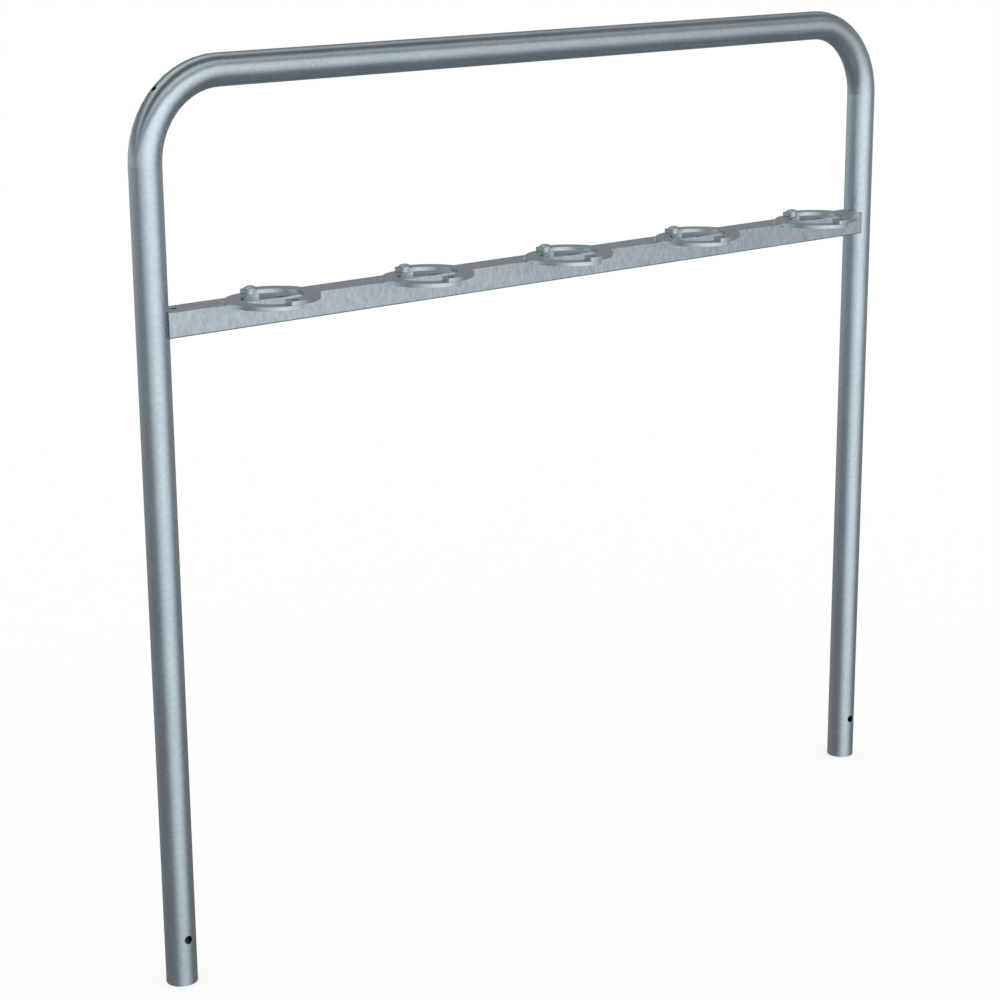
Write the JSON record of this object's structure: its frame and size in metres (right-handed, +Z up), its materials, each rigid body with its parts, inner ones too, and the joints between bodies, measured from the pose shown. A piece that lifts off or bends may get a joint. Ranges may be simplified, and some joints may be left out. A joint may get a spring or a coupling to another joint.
{
  "type": "hoop bike rack",
  "caption": "Galvanised steel tube hoop with a crossbar that carries a row of flat hinged rings, each closing round a stem and locked by a padlock.",
  "frame": {"origin": "midway between the two leg ends, in the plane that both are cut to", "axes": "+Z up along the legs, +X along the hoop to its right as seen from the side that the rings stand out of, -Y out of that side"},
  "size_m": [1.58, 0.157, 1.45],
  "materials": {
    "galvanised_tube": "hot-dip galvanised, satin grey with faint mottling",
    "galvanised_bar": "hot-dip galvanised, satin grey with faint spangle",
    "galvanised_plate": "hot-dip galvanised flat plate, satin",
    "galvanised_weld": "weld bead, galvanised over, slightly rough",
    "pivot_steel": "zinc-coated steel, satin"
  },
  "bodies": {
    "frame": {"hoop_tube": "galvanised_tube", "crossbar": "galvanised_bar", "bar_weld_left": "galvanised_weld", "bar_weld_right": "galvanised_weld", "ring_plate_1": "galvanised_plate", "plate_weld_1": "galvanised_weld", "pivot_rivet_1": "pivot_steel", "ring_plate_2": "galvanised_plate", "plate_weld_2": "galvanised_weld", "pivot_rivet_2": "pivot_steel", "ring_plate_3": "galvanised_plate", "plate_weld_3": "galvanised_weld", "pivot_rivet_3": "pivot_steel", "ring_plate_4": "galvanised_plate", "plate_weld_4": "galvanised_weld", "pivot_rivet_4": "pivot_steel", "ring_plate_5": "galvanised_plate", "plate_weld_5": "galvanised_weld", "pivot_rivet_5": "pivot_steel"},
    "jaw_1": {"swing_jaw_1": "galvanised_plate"},
    "jaw_2": {"swing_jaw_2": "galvanised_plate"},
    "jaw_3": {"swing_jaw_3": "galvanised_plate"},
    "jaw_4": {"swing_jaw_4": "galvanised_plate"},
    "jaw_5": {"swing_jaw_5": "galvanised_plate"}
  },
  "joints": [
    {"name": "jaw_1_swing", "type": "hinge", "parent": "frame", "child": "jaw_1", "pos_m": [-0.59, 0.0005, 1.0898], "axis": [0, 0, 1], "range_deg": [0, 100]},
    {"name": "jaw_2_swing", "type": "hinge", "parent": "frame", "child": "jaw_2", "pos_m": [-0.295, 0.0005, 1.0898], "axis": [0, 0, 1], "range_deg": [0, 100]},
    {"name": "jaw_3_swing", "type": "hinge", "parent": "frame", "child": "jaw_3", "pos_m": [0, 0.0005, 1.0898], "axis": [0, 0, 1], "range_deg": [0, 100]},
    {"name": "jaw_4_swing", "type": "hinge", "parent": "frame", "child": "jaw_4", "pos_m": [0.295, 0.0005, 1.0898], "axis": [0, 0, 1], "range_deg": [0, 100]},
    {"name": "jaw_5_swing", "type": "hinge", "parent": "frame", "child": "jaw_5", "pos_m": [0.59, 0.0005, 1.0898], "axis": [0, 0, 1], "range_deg": [0, 100]}
  ]
}
